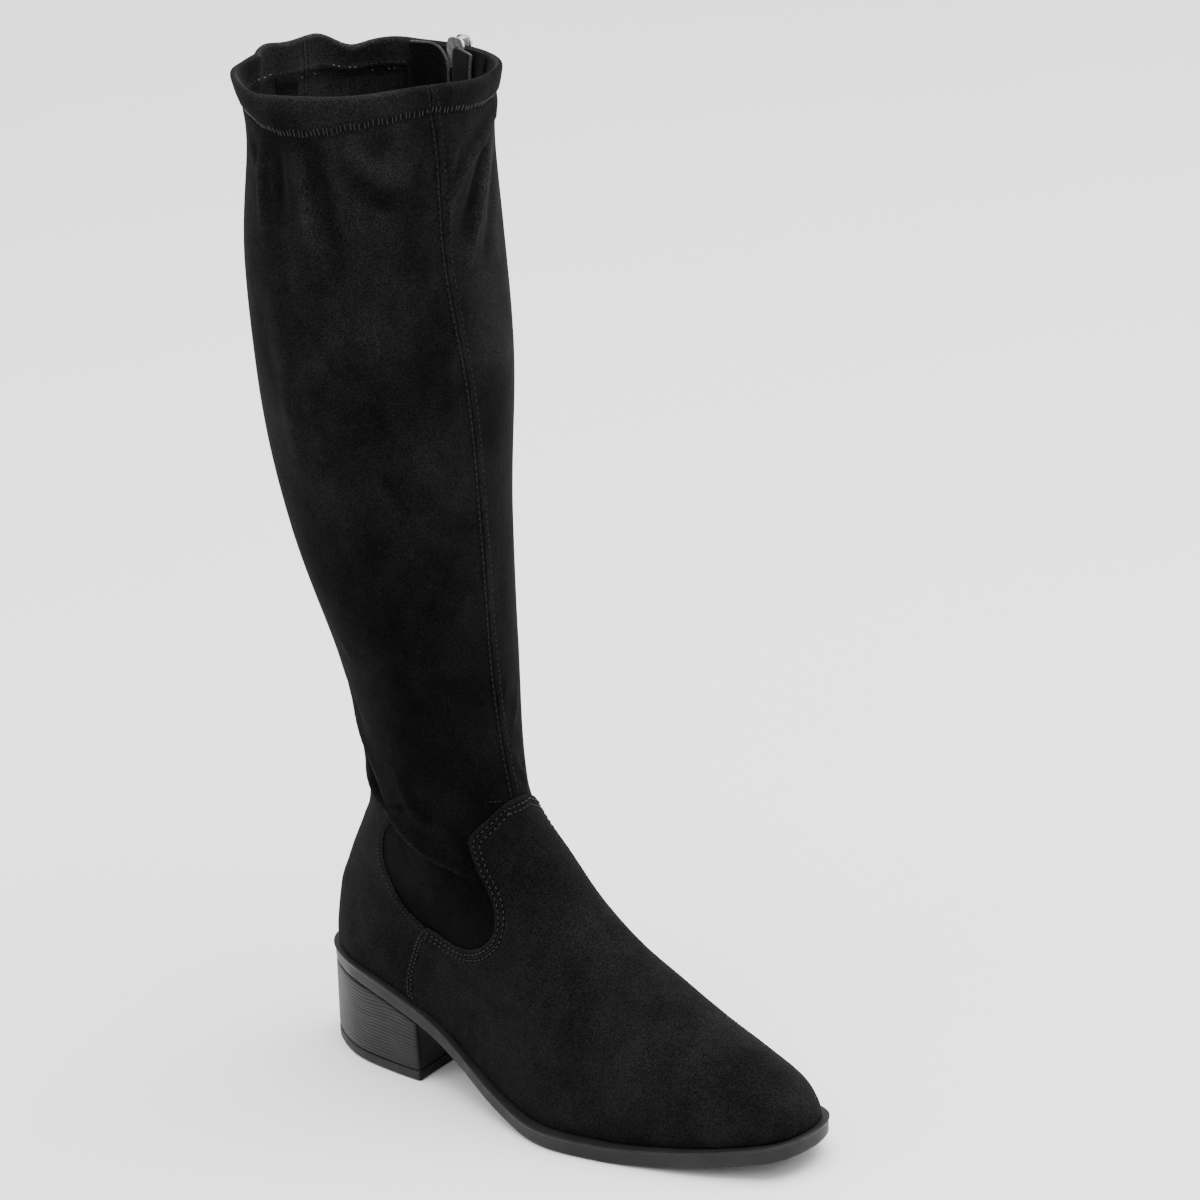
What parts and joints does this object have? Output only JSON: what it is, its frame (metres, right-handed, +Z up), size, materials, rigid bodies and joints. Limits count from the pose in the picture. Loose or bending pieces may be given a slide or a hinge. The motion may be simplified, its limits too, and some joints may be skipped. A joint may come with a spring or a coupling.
{
  "type": "knee-high boot",
  "caption": "Knee-high stretch suede boot with a block heel, cut-out vamp and counter overlays, and a zip up the inner side.",
  "frame": {"origin": "on the ground at the flat under the heel, 30 mm in front of the sole's back", "axes": "+Z up, toe towards -Y, medial side towards +X"},
  "size_m": [0.1253, 0.267, 0.4677],
  "materials": {
    "stretch_suede": "matte, velvety nap",
    "suede": "matte, velvety nap",
    "sole_rubber": "satin",
    "heel_stack": "satin, fine horizontal grain",
    "heel_lift": "satin",
    "insole": "matte",
    "coil": "satin",
    "tape": "matte",
    "facing": "matte",
    "zip_metal": "polished"
  },
  "bodies": {
    "boot": {"outsole": "sole_rubber", "heel_block": "heel_stack", "heel_top_lift": "heel_lift", "insole": "insole", "upper": "stretch_suede", "vamp": "suede", "counter": "suede", "zip_coil": "coil", "zip_tape_rear": "tape", "zip_tape_front": "tape", "zip_facing_rear": "facing", "zip_facing_front": "facing", "zip_slider": "zip_metal"},
    "pull": {"zip_pull": "zip_metal"}
  },
  "joints": [
    {"name": "pull_hinge", "type": "hinge", "parent": "boot", "child": "pull", "pos_m": [0.06059, -0.03005, 0.45316], "axis": [0.0509, -0.9981, -0.0334], "range_deg": [-4, 168]}
  ]
}
